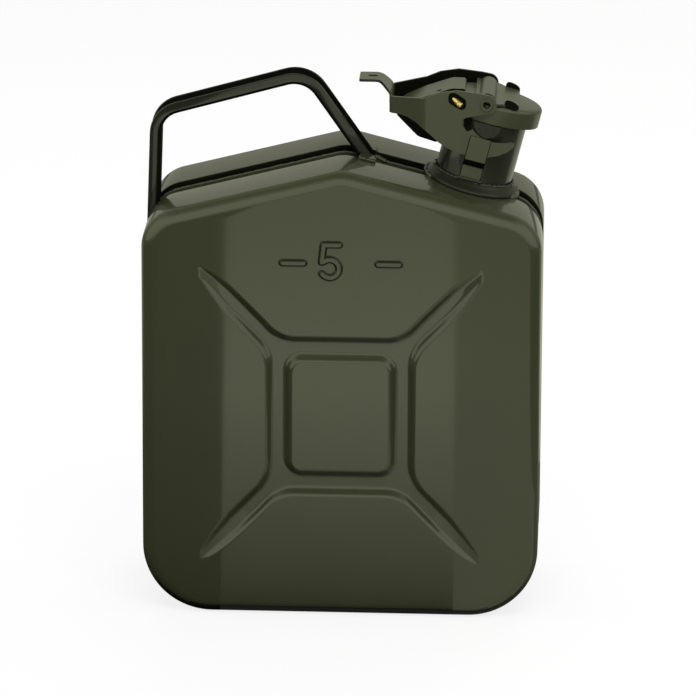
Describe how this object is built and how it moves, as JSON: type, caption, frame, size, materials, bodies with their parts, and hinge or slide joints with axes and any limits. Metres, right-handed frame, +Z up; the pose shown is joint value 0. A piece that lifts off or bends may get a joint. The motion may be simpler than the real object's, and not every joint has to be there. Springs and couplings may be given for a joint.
{
  "type": "jerry can",
  "caption": "Flat-sided steel fuel can with a sloping grip, crossed panel channels and a cam lever cap on a tilted neck.",
  "frame": {"origin": "middle of the base, on the ground", "axes": "+Z up; +X toward the filler neck; the numbered front face looks toward -Y"},
  "size_m": [0.24, 0.112, 0.3274],
  "materials": {
    "olive_paint": "semi-gloss olive drab enamel",
    "dark_steel": "dark oiled steel",
    "bare_steel": "bare zinc-plated steel",
    "gasket_rubber": "matte black fuel-proof rubber",
    "pin_brass": "polished brass"
  },
  "bodies": {
    "can": {"front_shell": "olive_paint", "rear_shell": "olive_paint", "seam_flange": "olive_paint", "carry_handle": "olive_paint", "filler_neck": "olive_paint", "neck_collar": "olive_paint", "vent_tube": "bare_steel", "vent_clip": "bare_steel", "jaw_lug_front": "olive_paint", "jaw_lug_rear": "olive_paint", "guide_strap_front": "olive_paint", "guide_strap_rear": "olive_paint"},
    "cap": {"cap_cup": "olive_paint", "cap_gasket": "gasket_rubber", "gasket_plate": "bare_steel", "gasket_rivet": "bare_steel", "cap_saddle": "olive_paint", "cap_arm": "olive_paint", "pivot_rivet_front": "olive_paint", "pivot_rivet_rear": "olive_paint"},
    "lever": {"clamp_lever": "olive_paint", "pin_guide": "dark_steel"},
    "pin": {"lock_pin": "pin_brass"}
  },
  "joints": [
    {"name": "cap_lift", "type": "slide", "parent": "can", "child": "cap", "axis": [0.2453, 0, 0.9694], "range_m": [0, 0.01414]},
    {"name": "lever_turn", "type": "hinge", "parent": "cap", "child": "lever", "pos_m": [0.08539, 0, 0.31476], "axis": [0, 1, 0], "range_deg": [0, 90]},
    {"name": "pin_slide", "type": "slide", "parent": "lever", "child": "pin", "axis": [-0.5508, 0.8295, 0.0929], "range_m": [0, 0.006]}
  ],
  "couplings": [
    {"joint": "cap_lift", "follows": "lever_turn", "m_per_rad": 0.009}
  ]
}
